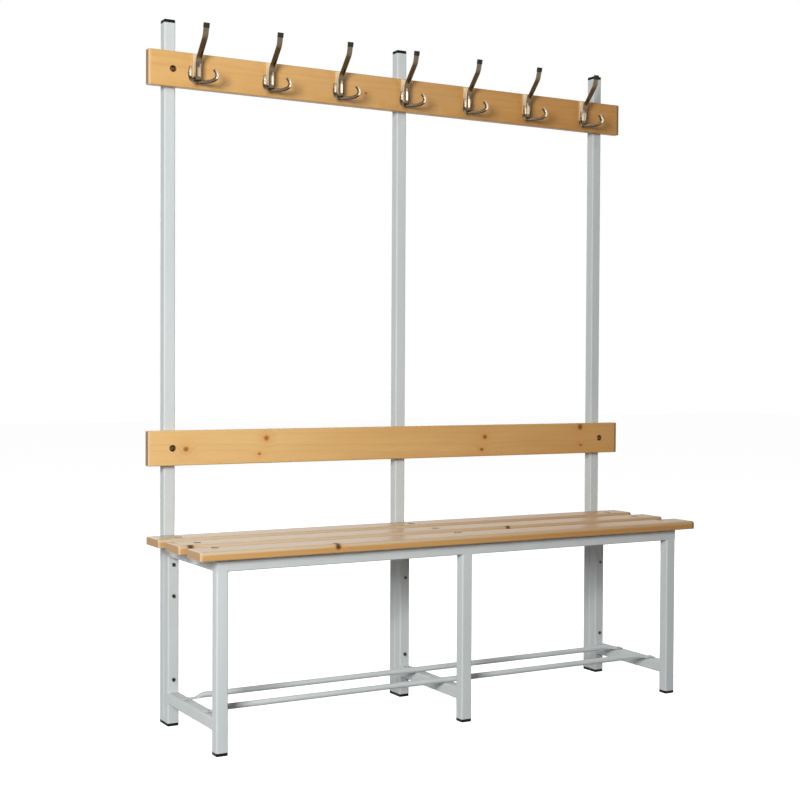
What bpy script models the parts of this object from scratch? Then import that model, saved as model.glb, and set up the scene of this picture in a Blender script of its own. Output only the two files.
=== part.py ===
"""Locker room bench: a tube frame with a slatted seat, tall posts, a backrest, a hook rail and a shoe rack.

Units are metres and +Z is up. +X runs along the bench, to the right of someone who looks at its seat, and
-Y is the side that one sits on. The origin is on the floor, under the middle of the bench's outer box.
Inside the model the plane Y = 0 is the front of the posts, and one empty carries the whole bench to its
place over the origin.
"""
import math

import bmesh
import bpy
from mathutils import Vector

# Gap that two touching pieces keep
CLEARANCE = 0.0003

# Whole bench
BENCH_HEIGHT = 1.800
SEAT_HEIGHT = 0.487
FRAMES = (("left", -1), ("middle", 0), ("right", 1))

# Pine boards: three seat slats, one backrest board and one hook rail
BOARD_LENGTH = 1.490
BOARD_WIDTH = 0.090
BOARD_THICKNESS = 0.022
BOARD_EDGE_RADIUS = 0.004
BOARD_END_CHAMFER = 0.0015
BOARD_OVERHANG = 0.065
SLAT_NAMES = ("rear", "middle", "front")
SLAT_GAP = 0.050
SLAT_SETBACK = 0.007
SLAT_NOSE = 0.023
BACKREST_RISE = 0.177
HOOK_RAIL_DROP = 0.084

# Square steel tube of the legs, posts, rails and crossbars
TUBE_SIDE = 0.030
TUBE_WALL = 0.0015
TUBE_CORNER = 0.0035
TUBE_CORNER_STEPS = 2
RAIL_END_PLATE = 0.002
RAIL_VENT_DIAMETER = 0.006
RAIL_VENT_INSET = 0.050
LOWER_BAR_RISE = 0.057

# Black plastic glides under the legs and posts, and caps on the posts
GLIDE_HEIGHT = 0.0075
GLIDE_CHAMFER = 0.0012
CAP_HEIGHT = 0.006
CAP_CHAMFER = 0.0022
PLUG_DEPTH = 0.018
PLUG_WALL_SLACK = 0.0003

# Shoe rods: round tube pressed flat at both ends
ROD_DIAMETER = 0.015
ROD_WALL = 0.0012
ROD_SLIT = 0.0006
ROD_SPACING = 0.144
ROD_FORWARD = 0.0175
ROD_END_REACH = 0.011
ROD_TIP_ROUND = 0.005
ROD_TIP_SHARE = 0.55
ROD_TIP_STEPS = 2
ROD_FLAT_LENGTH = 0.030
ROD_NECK_LENGTH = 0.028
ROD_NECK_STEPS = 3
ROD_SIDES = 12
ROD_FLAT_STEEPNESS = 2

# Machine bolts that hold the posts to the rear legs and the boards to the outer posts
BOLT_DIAMETER = 0.006
BOLT_HEAD_DIAMETER = 0.0105
BOLT_HEAD_HEIGHT = 0.0033
BOLT_SOCKET_DIAMETER = 0.004
BOLT_SOCKET_DEPTH = 0.002
BOLT_THREAD_END = 0.006
UPPER_BOLT_DROP = 0.022
BOLT_PAIR_SPACING = 0.080
LOWER_BOLT_RISE = 0.032
BOARD_BOLT_RECESS = 0.007
BOARD_BOLT_RECESS_DIAMETER = 0.014

# Wood screws: from behind at the middle post, and the holes for those in the seat and the rods
WOOD_SCREW_DIAMETER = 0.005
WOOD_SCREW_HEAD_DIAMETER = 0.0095
WOOD_SCREW_HEAD_HEIGHT = 0.003
WOOD_SCREW_POINT_LENGTH = 0.005
WOOD_SCREW_POINT_DIAMETER = 0.001
WOOD_SCREW_SKIN = 0.006
SCREW_ACCESS_DIAMETER = 0.013
SEAT_SCREW_RECESS = 0.006
SEAT_SCREW_RECESS_DIAMETER = 0.012
FASTENER_SIDES = 10
HOLE_SIDES = 12

# Coat hooks: a flat steel strap bent to a J, with two round prongs
HOOK_COUNT = 7
HOOK_FIRST_INSET = 0.125
HOOK_SPACING = 0.2035
HOOK_RISE = 0.015
HOOK_WIDTH = 0.015
HOOK_THICKNESS = 0.004
HOOK_EDGE = 0.001
HOOK_PLATE_HEIGHT = 0.072
HOOK_THROAT = 0.015
HOOK_STEM_HEIGHT = 0.055
HOOK_LEAN_REACH = 0.047
HOOK_LEAN_RISE = 0.051
HOOK_TIP_REACH = 0.008
HOOK_TIP_RISE = 0.0305
HOOK_STEM_BEND = 0.030
HOOK_TIP_BEND = 0.035
HOOK_BEND_STEPS = 4
PRONG_DIAMETER = 0.0084
PRONG_TIP_DIAMETER = 0.0044
PRONG_SINK = 0.0046
PRONG_SWEEP = (0.032, 0.0045, -0.005)
PRONG_CURL = (0.052, 0.044, -0.003)
PRONG_TIP = (0.034, 0.019, 0.028)
PRONG_RINGS = 10
PRONG_SIDES = 6

# Places worked out from the sizes above
FRAME_SPACING = BOARD_LENGTH / 2 - BOARD_OVERHANG
SLAT_PITCH = BOARD_WIDTH + SLAT_GAP
SEAT_FRONT = -SLAT_SETBACK - BOARD_WIDTH - SLAT_PITCH * (len(SLAT_NAMES) - 1)
POST_BACK = TUBE_SIDE
MODEL_SHIFT = -(SEAT_FRONT + POST_BACK) / 2
REAR_LEG_FRONT = -CLEARANCE - TUBE_SIDE
REAR_LEG_Y = -CLEARANCE - TUBE_SIDE / 2
FRONT_LEG_Y = SEAT_FRONT + SLAT_NOSE + TUBE_SIDE / 2
FRONT_LEG_BACK = FRONT_LEG_Y + TUBE_SIDE / 2
RAIL_TOP = SEAT_HEIGHT - BOARD_THICKNESS - CLEARANCE
RAIL_BOTTOM = RAIL_TOP - TUBE_SIDE
LOWER_BAR_TOP = LOWER_BAR_RISE + TUBE_SIDE
CROSSBAR_Y = (FRONT_LEG_BACK + REAR_LEG_FRONT) / 2
CROSSBAR_LENGTH = REAR_LEG_FRONT - FRONT_LEG_BACK - 2 * CLEARANCE
BOARD_FACE = -CLEARANCE - BOARD_THICKNESS
BACKREST_Z = SEAT_HEIGHT + BACKREST_RISE + BOARD_WIDTH / 2
HOOK_RAIL_Z = BENCH_HEIGHT - HOOK_RAIL_DROP - BOARD_WIDTH / 2
BOLT_HEIGHTS = {
    "upper": RAIL_BOTTOM - UPPER_BOLT_DROP,
    "middle": RAIL_BOTTOM - UPPER_BOLT_DROP - BOLT_PAIR_SPACING,
    "lower": LOWER_BAR_TOP + LOWER_BOLT_RISE,
}
ROD_ROWS = {
    "rear": CROSSBAR_Y - ROD_FORWARD + ROD_SPACING / 2,
    "front": CROSSBAR_Y - ROD_FORWARD - ROD_SPACING / 2,
}
BOLT_HOLE = BOLT_DIAMETER + 2 * CLEARANCE
WOOD_SCREW_HOLE = WOOD_SCREW_DIAMETER + 2 * CLEARANCE
HOOK_BEND = (HOOK_THROAT + HOOK_THICKNESS) / 2


def slat_y(index):
    """Middle of a seat slat, counted from the rear one."""
    return -SLAT_SETBACK - BOARD_WIDTH / 2 - index * SLAT_PITCH


def clear_scene():
    for old in list(bpy.data.objects):
        bpy.data.objects.remove(old, do_unlink=True)


def make_material(name, colour, roughness, metallic):
    made = bpy.data.materials.new(name)
    made.use_nodes = True
    shader = made.node_tree.nodes["Principled BSDF"]
    shader.inputs["Base Color"].default_value = (*colour, 1.0)
    shader.inputs["Roughness"].default_value = roughness
    shader.inputs["Metallic"].default_value = metallic
    return made


def rounded_rectangle(width, depth, radius, steps):
    """Outline of a rectangle around the origin, with round corners, counter-clockwise."""
    points = []
    for corner, (side_x, side_y) in enumerate(((1, 1), (-1, 1), (-1, -1), (1, -1))):
        for step in range(steps + 1):
            angle = math.pi / 2 * (corner + step / steps)
            points.append((side_x * (width / 2 - radius) + radius * math.cos(angle),
                           side_y * (depth / 2 - radius) + radius * math.sin(angle)))
    return points


def circle(diameter, sides):
    angles = [2 * math.pi * k / sides for k in range(sides)]
    return [(diameter / 2 * math.cos(angle), diameter / 2 * math.sin(angle)) for angle in angles]


def at_height(outline, z):
    return [Vector((x, y, z)) for x, y in outline]


def skin(shape, rings, closed=False):
    """Joins rings of points into one surface: a loop of rings if closed, else with a face over each end."""
    loops = [[shape.verts.new(point) for point in ring] for ring in rings]
    pairs = list(zip(loops, loops[1:]))
    if closed:
        pairs.append((loops[-1], loops[0]))
    else:
        shape.faces.new(loops[0])
        shape.faces.new(loops[-1])
    for low, high in pairs:
        for k in range(len(low)):
            following = (k + 1) % len(low)
            shape.faces.new((low[k], low[following], high[following], high[k]))


def to_mesh(name, shape, smooth_angle=40):
    bmesh.ops.recalc_face_normals(shape, faces=shape.faces)
    mesh = bpy.data.meshes.new(name)
    shape.to_mesh(mesh)
    shape.free()
    mesh.shade_smooth()
    mesh.set_sharp_from_angle(angle=math.radians(smooth_angle))
    return mesh


def place(name, mesh, material, location, turn=(0, 0, 0)):
    """One named piece of the bench, carried by the bench's empty."""
    piece = bpy.data.objects.new(name, mesh)
    bpy.context.scene.collection.objects.link(piece)
    piece.location = location
    piece.rotation_euler = turn
    piece.parent = BENCH
    if material:
        mesh.materials.clear()
        mesh.materials.append(material)
    return piece


def drill(piece, name, holes):
    """Cuts round holes, each a start, an end and a diameter in the model's own axes."""
    shape = bmesh.new()
    for start, end, diameter in holes:
        run = Vector(end) - Vector(start)
        turn = run.to_track_quat("Z", "Y")
        outline = circle(diameter, HOLE_SIDES)
        skin(shape, [[Vector(start) + turn @ point for point in at_height(outline, z)]
                     for z in (0, run.length)])
    cut(piece, place(name, to_mesh(name, shape), None, (0, 0, 0)), "DIFFERENCE")


def cut(piece, tool, operation):
    tool.hide_render = True
    tool.display_type = "WIRE"
    boolean = piece.modifiers.new(tool.name, "BOOLEAN")
    boolean.operation = operation
    boolean.object = tool


def tube_outlines():
    """Outside and bore of the square tube."""
    bore = TUBE_SIDE - 2 * TUBE_WALL
    return (rounded_rectangle(TUBE_SIDE, TUBE_SIDE, TUBE_CORNER, TUBE_CORNER_STEPS),
            rounded_rectangle(bore, bore, TUBE_CORNER - TUBE_WALL, TUBE_CORNER_STEPS))


def square_tube(name, length, location, turn=(0, 0, 0)):
    """Open square tube along its own Z, from the location upwards before it is turned."""
    outer, inner = tube_outlines()
    shape = bmesh.new()
    skin(shape, [at_height(outer, 0), at_height(outer, length),
                 at_height(inner, length), at_height(inner, 0)], True)
    return place(name, to_mesh(name, shape), PAINT, location, turn)


def along_x(start, y, z):
    return {"location": (start, y, z), "turn": (0, math.pi / 2, 0)}


def along_y(x, start, z):
    return {"location": (x, start, z), "turn": (-math.pi / 2, 0, 0)}


def rail(name, y):
    """Square tube along the bench, shut by a plate at each end and vented through its underside."""
    length = 2 * FRAME_SPACING + TUBE_SIDE
    z = RAIL_BOTTOM + TUBE_SIDE / 2
    outer, inner = tube_outlines()
    body = bmesh.new()
    skin(body, [at_height(outer, 0), at_height(outer, length)])
    piece = place(name, to_mesh(name, body), PAINT, **along_x(-length / 2, y, z))
    hollow = bmesh.new()
    skin(hollow, [at_height(inner, RAIL_END_PLATE), at_height(inner, length - RAIL_END_PLATE)])
    hollow_name = name + "_hollow"
    tool = place(hollow_name, to_mesh(hollow_name, hollow), None, **along_x(-length / 2, y, z))
    cut(piece, tool, "DIFFERENCE")
    vents = []
    for side in (-1, 1):
        x = side * (length / 2 - RAIL_VENT_INSET)
        vents.append(((x, y, RAIL_BOTTOM - TUBE_WALL), (x, y, z), RAIL_VENT_DIAMETER))
    drill(piece, name + "_vents", vents)


def leg_frames():
    """The welded frame: three pairs of legs with crossbars, and the two rails on top of them."""
    leg_foot = GLIDE_HEIGHT + CLEARANCE
    leg_length = RAIL_BOTTOM - CLEARANCE - leg_foot
    rail("front_rail", FRONT_LEG_Y)
    rail("rear_rail", REAR_LEG_Y)
    for frame, side in FRAMES:
        x = side * FRAME_SPACING
        square_tube("front_leg_" + frame, leg_length, (x, FRONT_LEG_Y, leg_foot))
        rear_leg = square_tube("rear_leg_" + frame, leg_length, (x, REAR_LEG_Y, leg_foot))
        drill(rear_leg, "rear_leg_holes_" + frame,
              [((x, REAR_LEG_FRONT - TUBE_WALL, z), (x, TUBE_WALL, z), BOLT_HOLE)
               for z in BOLT_HEIGHTS.values()])
        start = FRONT_LEG_BACK + CLEARANCE
        seat_bar = square_tube("seat_crossbar_" + frame, CROSSBAR_LENGTH,
                               **along_y(x, start, RAIL_BOTTOM + TUBE_SIDE / 2))
        drill(seat_bar, "seat_crossbar_holes_" + frame,
              [((x, y, RAIL_TOP - TUBE_WALL * 2), (x, y, RAIL_TOP + TUBE_WALL), WOOD_SCREW_HOLE)
               for y in seat_screw_rows()])
        lower_bar = square_tube("lower_crossbar_" + frame, CROSSBAR_LENGTH,
                                **along_y(x, start, LOWER_BAR_RISE + TUBE_SIDE / 2))
        if side:
            drill(lower_bar, "lower_crossbar_holes_" + frame,
                  [((x, y, LOWER_BAR_TOP - TUBE_WALL * 2), (x, y, LOWER_BAR_TOP + TUBE_WALL),
                    WOOD_SCREW_HOLE) for y in ROD_ROWS.values()])


def seat_screw_rows():
    """Places of the seat screws along a crossbar, in the middle of what the bar carries of each slat."""
    bar_ends = (CROSSBAR_Y - CROSSBAR_LENGTH / 2, CROSSBAR_Y + CROSSBAR_LENGTH / 2)
    rows = []
    for index in range(len(SLAT_NAMES)):
        low = max(slat_y(index) - BOARD_WIDTH / 2, bar_ends[0])
        high = min(slat_y(index) + BOARD_WIDTH / 2, bar_ends[1])
        rows.append((low + high) / 2)
    return rows


def posts():
    """Tall posts behind the rear legs, with holes for their bolts and for the boards' fixings."""
    foot = GLIDE_HEIGHT + CLEARANCE
    length = BENCH_HEIGHT - CAP_HEIGHT - CLEARANCE - foot
    for frame, side in FRAMES:
        x = side * FRAME_SPACING
        post = square_tube("post_" + frame, length, (x, TUBE_SIDE / 2, foot))
        holes = [((x, -TUBE_WALL, z), (x, TUBE_WALL * 2, z), BOLT_HOLE) for z in BOLT_HEIGHTS.values()]
        for z in (BACKREST_Z, HOOK_RAIL_Z):
            diameter = BOLT_HOLE if side else WOOD_SCREW_HOLE
            holes.append(((x, -TUBE_WALL, z), (x, TUBE_WALL * 2, z), diameter))
            if not side:
                holes.append(((x, POST_BACK - TUBE_WALL * 2, z), (x, POST_BACK + TUBE_WALL, z),
                              SCREW_ACCESS_DIAMETER))
        drill(post, "post_holes_" + frame, holes)


def stepped_block(name, steps, location, turn=(0, 0, 0)):
    """Square plastic block of stacked sections, each a side and a height."""
    shape = bmesh.new()
    skin(shape, [at_height(rounded_rectangle(side, side, TUBE_CORNER, TUBE_CORNER_STEPS), z)
                 for side, z in steps])
    return place(name, to_mesh(name, shape, 30), PLASTIC, location, turn)


def glides_and_caps():
    """Glides under every leg and post, and a cap on each post, all plugged into their tubes."""
    plug = TUBE_SIDE - 2 * TUBE_WALL - 2 * PLUG_WALL_SLACK
    glide = [(TUBE_SIDE - 2 * GLIDE_CHAMFER, 0), (TUBE_SIDE, GLIDE_CHAMFER), (TUBE_SIDE, GLIDE_HEIGHT),
             (plug, GLIDE_HEIGHT), (plug, GLIDE_HEIGHT + PLUG_DEPTH)]
    cap = [(TUBE_SIDE - 2 * CAP_CHAMFER, 0), (TUBE_SIDE, CAP_CHAMFER), (TUBE_SIDE, CAP_HEIGHT),
           (plug, CAP_HEIGHT), (plug, CAP_HEIGHT + PLUG_DEPTH)]
    for frame, side in FRAMES:
        x = side * FRAME_SPACING
        stepped_block("front_glide_" + frame, glide, (x, FRONT_LEG_Y, 0))
        stepped_block("rear_glide_" + frame, glide, (x, REAR_LEG_Y, 0))
        stepped_block("post_glide_" + frame, glide, (x, TUBE_SIDE / 2, 0))
        stepped_block("post_cap_" + frame, cap, (x, TUBE_SIDE / 2, BENCH_HEIGHT), (math.pi, 0, 0))


def board(name, y, z, flat):
    """Pine board along the bench with rounded long edges, lying flat or standing on edge."""
    width, height = (BOARD_WIDTH, BOARD_THICKNESS) if flat else (BOARD_THICKNESS, BOARD_WIDTH)
    half = BOARD_LENGTH / 2
    full = rounded_rectangle(width, height, BOARD_EDGE_RADIUS, TUBE_CORNER_STEPS)
    end = rounded_rectangle(width - 2 * BOARD_END_CHAMFER, height - 2 * BOARD_END_CHAMFER,
                            BOARD_EDGE_RADIUS - BOARD_END_CHAMFER, TUBE_CORNER_STEPS)
    shape = bmesh.new()
    skin(shape, [[Vector((x, across, up)) for across, up in outline]
                 for x, outline in ((-half, end), (-half + BOARD_END_CHAMFER, full),
                                    (half - BOARD_END_CHAMFER, full), (half, end))])
    return place(name, to_mesh(name, shape), PINE, (0, y, z))


def seat():
    """Three slats with a recessed screw hole over every crossbar."""
    top = SEAT_HEIGHT
    for index, name in enumerate(SLAT_NAMES):
        slat = board("seat_slat_" + name, slat_y(index), top - BOARD_THICKNESS / 2, True)
        y = seat_screw_rows()[index]
        holes = []
        recesses = []
        for _, side in FRAMES:
            x = side * FRAME_SPACING
            holes.append(((x, y, top - 2 * BOARD_THICKNESS), (x, y, top + BOARD_THICKNESS),
                          WOOD_SCREW_HOLE))
            recesses.append(((x, y, top - SEAT_SCREW_RECESS), (x, y, top + BOARD_THICKNESS),
                             SEAT_SCREW_RECESS_DIAMETER))
        drill(slat, "seat_slat_recesses_" + name, recesses)
        drill(slat, "seat_slat_holes_" + name, holes)


def bolt(name, steps, location, turn):
    """Turned fastener along its own Z, from stacked sections, each a diameter and a height."""
    shape = bmesh.new()
    skin(shape, [at_height(circle(diameter, FASTENER_SIDES), z) for diameter, z in steps])
    return place(name, to_mesh(name, shape), STEEL, location, turn)


def machine_bolt(name, length, location):
    """Round-headed bolt that points along +Y, with a socket in its head; the location is under the head."""
    bolt(name, [(BOLT_SOCKET_DIAMETER, BOLT_SOCKET_DEPTH - BOLT_HEAD_HEIGHT),
                (BOLT_SOCKET_DIAMETER, -BOLT_HEAD_HEIGHT),
                ((BOLT_HEAD_DIAMETER + BOLT_SOCKET_DIAMETER) / 2, -BOLT_HEAD_HEIGHT),
                (BOLT_HEAD_DIAMETER, -BOLT_HEAD_HEIGHT / 2), (BOLT_HEAD_DIAMETER, 0),
                (BOLT_DIAMETER, 0), (BOLT_DIAMETER, length)], location, (-math.pi / 2, 0, 0))


def boards_on_posts():
    """Backrest and hook rail: bolted in recesses at the outer posts, screwed from behind at the middle one."""
    thread_end = TUBE_WALL + BOLT_THREAD_END
    for name, z in (("backrest", BACKREST_Z), ("hook_rail", HOOK_RAIL_Z)):
        piece = board(name, -CLEARANCE - BOARD_THICKNESS / 2, z, False)
        recess_floor = BOARD_FACE + BOARD_BOLT_RECESS
        recesses = []
        blind_end = BOARD_FACE + WOOD_SCREW_SKIN - CLEARANCE
        holes = [((0, blind_end, z), (0, BOARD_THICKNESS, z), WOOD_SCREW_HOLE)]
        for frame, side in FRAMES:
            x = side * FRAME_SPACING
            if side:
                outside = (x, BOARD_FACE - BOARD_THICKNESS, z)
                recesses.append((outside, (x, recess_floor, z), BOARD_BOLT_RECESS_DIAMETER))
                holes.append((outside, (x, BOARD_THICKNESS, z), BOLT_HOLE))
                under_head = recess_floor - CLEARANCE
                machine_bolt(name + "_bolt_" + frame, thread_end - under_head, (x, under_head, z))
        drill(piece, name + "_recesses", recesses)
        drill(piece, name + "_holes", holes)
        seat_of_head = TUBE_WALL + CLEARANCE
        screw_length = seat_of_head - BOARD_FACE - WOOD_SCREW_SKIN
        bolt(name + "_screw_middle", [(WOOD_SCREW_HEAD_DIAMETER, -WOOD_SCREW_HEAD_HEIGHT),
                                      (WOOD_SCREW_HEAD_DIAMETER, 0), (WOOD_SCREW_DIAMETER, 0),
                                      (WOOD_SCREW_DIAMETER, screw_length - WOOD_SCREW_POINT_LENGTH),
                                      (WOOD_SCREW_POINT_DIAMETER, screw_length)],
             (0, seat_of_head, z), (math.pi / 2, 0, 0))


def post_bolts():
    """Three bolts through every rear leg into the post behind it."""
    under_head = REAR_LEG_FRONT - CLEARANCE
    length = TUBE_WALL + BOLT_THREAD_END - under_head
    for frame, side in FRAMES:
        for place_name, z in BOLT_HEIGHTS.items():
            name = "post_bolt_" + frame + "_" + place_name
            machine_bolt(name, length, (side * FRAME_SPACING, under_head, z))


def rod_outline(flatness, share, thin):
    """Section of a shoe rod, across and up from its underside: round, or pressed flat as flatness nears 1."""
    inset = ROD_WALL if thin else 0
    flat_height = 2 * ROD_WALL + ROD_SLIT
    flat_width = math.pi * (ROD_DIAMETER - ROD_WALL) / 2 + ROD_WALL
    points = []
    for k in range(ROD_SIDES):
        angle = 2 * math.pi * k / ROD_SIDES
        round_y = (ROD_DIAMETER / 2 - inset) * math.cos(angle)
        round_z = ROD_DIAMETER / 2 + (ROD_DIAMETER / 2 - inset) * math.sin(angle)
        flat_y = share * (flat_width / 2 - inset) * math.cos(angle)
        flat_side = max(-1, min(1, ROD_FLAT_STEEPNESS * math.sin(angle)))
        flat_z = flat_height / 2 + (flat_height / 2 - inset) * flat_side
        points.append((round_y + (flat_y - round_y) * flatness, round_z + (flat_z - round_z) * flatness))
    return points


def shoe_rods():
    """Two rods along the bench on the lower crossbars, open through the slit of each flattened end."""
    end = -FRAME_SPACING - ROD_END_REACH
    stations = []
    for step in range(ROD_TIP_STEPS + 1):
        t = step / ROD_TIP_STEPS
        share = ROD_TIP_SHARE + (1 - ROD_TIP_SHARE) * math.sin(math.pi / 2 * t)
        stations.append((end + ROD_TIP_ROUND * t, 1, share))
    for step in range(ROD_NECK_STEPS + 1):
        t = step / ROD_NECK_STEPS
        stations.append((end + ROD_FLAT_LENGTH + ROD_NECK_LENGTH * t, (1 + math.cos(math.pi * t)) / 2, 1))
    stations += [(-x, flatness, share) for x, flatness, share in reversed(stations)]
    for row, y in ROD_ROWS.items():
        shape = bmesh.new()
        walls = [[[Vector((x, across, up)) for across, up in rod_outline(flatness, share, thin)]
                  for x, flatness, share in stations] for thin in (False, True)]
        skin(shape, walls[0] + walls[1][::-1], True)
        name = "shoe_rod_" + row
        rod = place(name, to_mesh(name, shape), PAINT, (0, y, LOWER_BAR_TOP + CLEARANCE))
        holes = []
        for x in (-FRAME_SPACING, FRAME_SPACING):
            below = (x, y, LOWER_BAR_TOP - TUBE_WALL)
            holes.append((below, (x, y, LOWER_BAR_TOP + ROD_DIAMETER), WOOD_SCREW_HOLE))
        drill(rod, name + "_holes", holes)


def rounded_path(corners):
    """Points along straight runs whose inner corners are arcs; each corner is a point and a bend radius."""
    path = [corners[0][0]]
    for (before, _), (corner, radius), (after, _) in zip(corners, corners[1:], corners[2:]):
        way_in = (corner - before).normalized()
        way_out = (after - corner).normalized()
        turn = way_in.angle_signed(way_out)
        side = Vector((way_in.y, -way_in.x)) * math.copysign(1, turn)
        centre = corner - way_in * radius * math.tan(abs(turn) / 2) + side * radius
        for step in range(HOOK_BEND_STEPS + 1):
            angle = abs(turn) * step / HOOK_BEND_STEPS
            point = centre - side * radius * math.cos(angle) + way_in * radius * math.sin(angle)
            if (point - path[-1]).length > CLEARANCE:
                path.append(point)
    path.append(corners[-1][0])
    return path


def hook_strap():
    """The bent strap; its path is measured forward from the board and up from the hook's underside."""
    middle = HOOK_THICKNESS / 2
    stem = middle + 2 * HOOK_BEND
    lean = Vector((stem + HOOK_LEAN_REACH, HOOK_STEM_HEIGHT + HOOK_LEAN_RISE))
    path = rounded_path([
        (Vector((middle, HOOK_PLATE_HEIGHT)), 0), (Vector((middle, middle)), HOOK_BEND),
        (Vector((stem, middle)), HOOK_BEND), (Vector((stem, HOOK_STEM_HEIGHT)), HOOK_STEM_BEND),
        (lean, HOOK_TIP_BEND), (lean + Vector((HOOK_TIP_REACH, HOOK_TIP_RISE)), 0)])
    section = rounded_rectangle(HOOK_WIDTH, HOOK_THICKNESS, HOOK_EDGE, 1)
    rings = []
    for index, point in enumerate(path):
        ahead = path[min(index + 1, len(path) - 1)]
        behind = path[max(index - 1, 0)]
        along = (ahead - behind).normalized()
        out = Vector((along.y, -along.x))
        rings.append([Vector((across, -point.x - out.x * depth, point.y + out.y * depth))
                      for across, depth in section])
    shape = bmesh.new()
    skin(shape, rings)
    return to_mesh("hook_strap", shape)


def hook_prongs():
    """One tapered bar welded under the strap's bend, whose ends sweep out, curl up and turn in as prongs."""
    stem = HOOK_THICKNESS / 2 + 2 * HOOK_BEND
    height = PRONG_SINK - PRONG_DIAMETER / 2
    middle = Vector((0, -HOOK_BEND, height))
    sweep, curl, tip = [Vector((aside, -stem - ahead, height + rise))
                        for aside, ahead, rise in (PRONG_SWEEP, PRONG_CURL, PRONG_TIP)]
    path = []
    for k in range(-PRONG_RINGS, PRONG_RINGS + 1):
        t = abs(k) / PRONG_RINGS
        s = 1 - t
        point = middle * s ** 3 + sweep * 3 * s * s * t + curl * 3 * s * t * t + tip * t ** 3
        point.x = math.copysign(point.x, k)
        path.append((point, PRONG_DIAMETER + (PRONG_TIP_DIAMETER - PRONG_DIAMETER) * t))
    rings = []
    for index, (point, diameter) in enumerate(path):
        ahead = path[min(index + 1, len(path) - 1)][0]
        behind = path[max(index - 1, 0)][0]
        along = (ahead - behind).normalized()
        across = along.cross(Vector((0, 1, 0))).normalized()
        up = across.cross(along)
        rings.append([point + across * x + up * y for x, y in circle(diameter, PRONG_SIDES)])
    shape = bmesh.new()
    skin(shape, rings)
    return to_mesh("hook_prongs", shape)


def coat_hooks():
    """One hook, its prongs joined to its strap, copied along the hook rail."""
    pattern = place("hook_pattern", hook_strap(), None, (0, 0, 0))
    tool = place("hook_prongs_pattern", hook_prongs(), None, (0, 0, 0))
    cut(pattern, tool, "UNION")
    bpy.context.view_layer.update()
    mesh = bpy.data.meshes.new_from_object(pattern.evaluated_get(bpy.context.evaluated_depsgraph_get()))
    bpy.data.objects.remove(tool, do_unlink=True)
    bpy.data.objects.remove(pattern, do_unlink=True)
    bottom = HOOK_RAIL_Z - BOARD_WIDTH / 2 + HOOK_RISE
    for index in range(HOOK_COUNT):
        x = HOOK_FIRST_INSET - BOARD_LENGTH / 2 + index * HOOK_SPACING
        place("coat_hook_" + str(index + 1), mesh, NICKEL, (x, BOARD_FACE - CLEARANCE, bottom))


clear_scene()
BENCH = bpy.data.objects.new("bench", None)
bpy.context.scene.collection.objects.link(BENCH)
BENCH.location = (0, MODEL_SHIFT, 0)
PAINT = make_material("light_grey_paint", (0.60, 0.63, 0.63), 0.42, 0.0)
PINE = make_material("varnished_pine", (0.68, 0.42, 0.17), 0.38, 0.0)
PLASTIC = make_material("black_plastic", (0.012, 0.012, 0.012), 0.5, 0.0)
STEEL = make_material("dark_steel", (0.10, 0.10, 0.10), 0.4, 1.0)
NICKEL = make_material("dark_nickel", (0.32, 0.28, 0.23), 0.25, 1.0)
leg_frames()
posts()
glides_and_caps()
seat()
boards_on_posts()
post_bolts()
shoe_rods()
coat_hooks()
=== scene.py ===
"""Looks of the locker room bench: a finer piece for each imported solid, with finishes, light and camera."""
import math

import bmesh
import bpy
from mathutils import Matrix, Vector


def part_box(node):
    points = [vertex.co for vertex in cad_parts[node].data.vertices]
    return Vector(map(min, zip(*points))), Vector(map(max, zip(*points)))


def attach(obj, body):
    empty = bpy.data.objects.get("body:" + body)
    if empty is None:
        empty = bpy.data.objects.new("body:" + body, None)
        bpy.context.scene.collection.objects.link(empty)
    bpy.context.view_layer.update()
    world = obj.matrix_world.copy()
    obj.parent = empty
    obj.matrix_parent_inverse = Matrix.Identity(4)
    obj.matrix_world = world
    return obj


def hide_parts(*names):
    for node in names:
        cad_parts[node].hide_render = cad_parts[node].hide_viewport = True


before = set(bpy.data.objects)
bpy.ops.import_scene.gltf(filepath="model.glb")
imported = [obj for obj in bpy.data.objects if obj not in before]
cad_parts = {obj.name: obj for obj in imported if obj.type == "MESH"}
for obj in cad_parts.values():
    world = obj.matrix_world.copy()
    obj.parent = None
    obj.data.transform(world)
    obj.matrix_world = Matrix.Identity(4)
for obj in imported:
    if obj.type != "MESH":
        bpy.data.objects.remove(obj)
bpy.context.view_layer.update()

FRAMES = ("left", "middle", "right")
X, Y, Z = 0, 1, 2
UP = Vector((0, 0, 1))
FRONT = Vector((0, -1, 0))
BACK = Vector((0, 1, 0))
SIDEWAYS = Vector((1, 0, 0))

# Camera, fitted to the photograph
CAMERA_PLACE = Vector((-1.9527, -3.2432, 0.9116))
CAMERA_YAW = math.radians(29.73)
CAMERA_PITCH = math.radians(-1.23)
CAMERA_ROLL = math.radians(0.28)
CAMERA_LENS = 63.34
CAMERA_SENSOR = 36

# Lamps: name, place, the point that it faces, size, watts, and whether glossy pieces mirror it
LAMPS = (
    ("key_lamp", (-3.15, -2.92, 1.80), (-0.2, 0, 0.9), 1.3, 191, False),
    ("right_lamp", (3.0, -5.5, 2.9), (0, 0.15, 1.67), 1.0, 11, True),
    ("spark_lamp", (-1.2, -3.2, 3.9), (0, 0.1, 1.67), 0.5, 18, True),
    ("side_lamp", (4.2, 0.9, 2.2), (0, 0, 0.9), 1.5, 45, False),
    ("back_lamp", (0.0, 4.4, 2.6), (0, 0, 0.9), 1.8, 62, False),
)

# Floor and room: how bright they are as light on the bench, and how bright to the eye
FLOOR_SIZE = 40
FLOOR_DROP = 0.0005
FLOOR_BOUNCE = 0.13
FLOOR_SEEN = 0.80
FLOOR_GLOW = 0.94
ROOM_FILL = 0.05
ROOM_SEEN = 1.0

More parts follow.
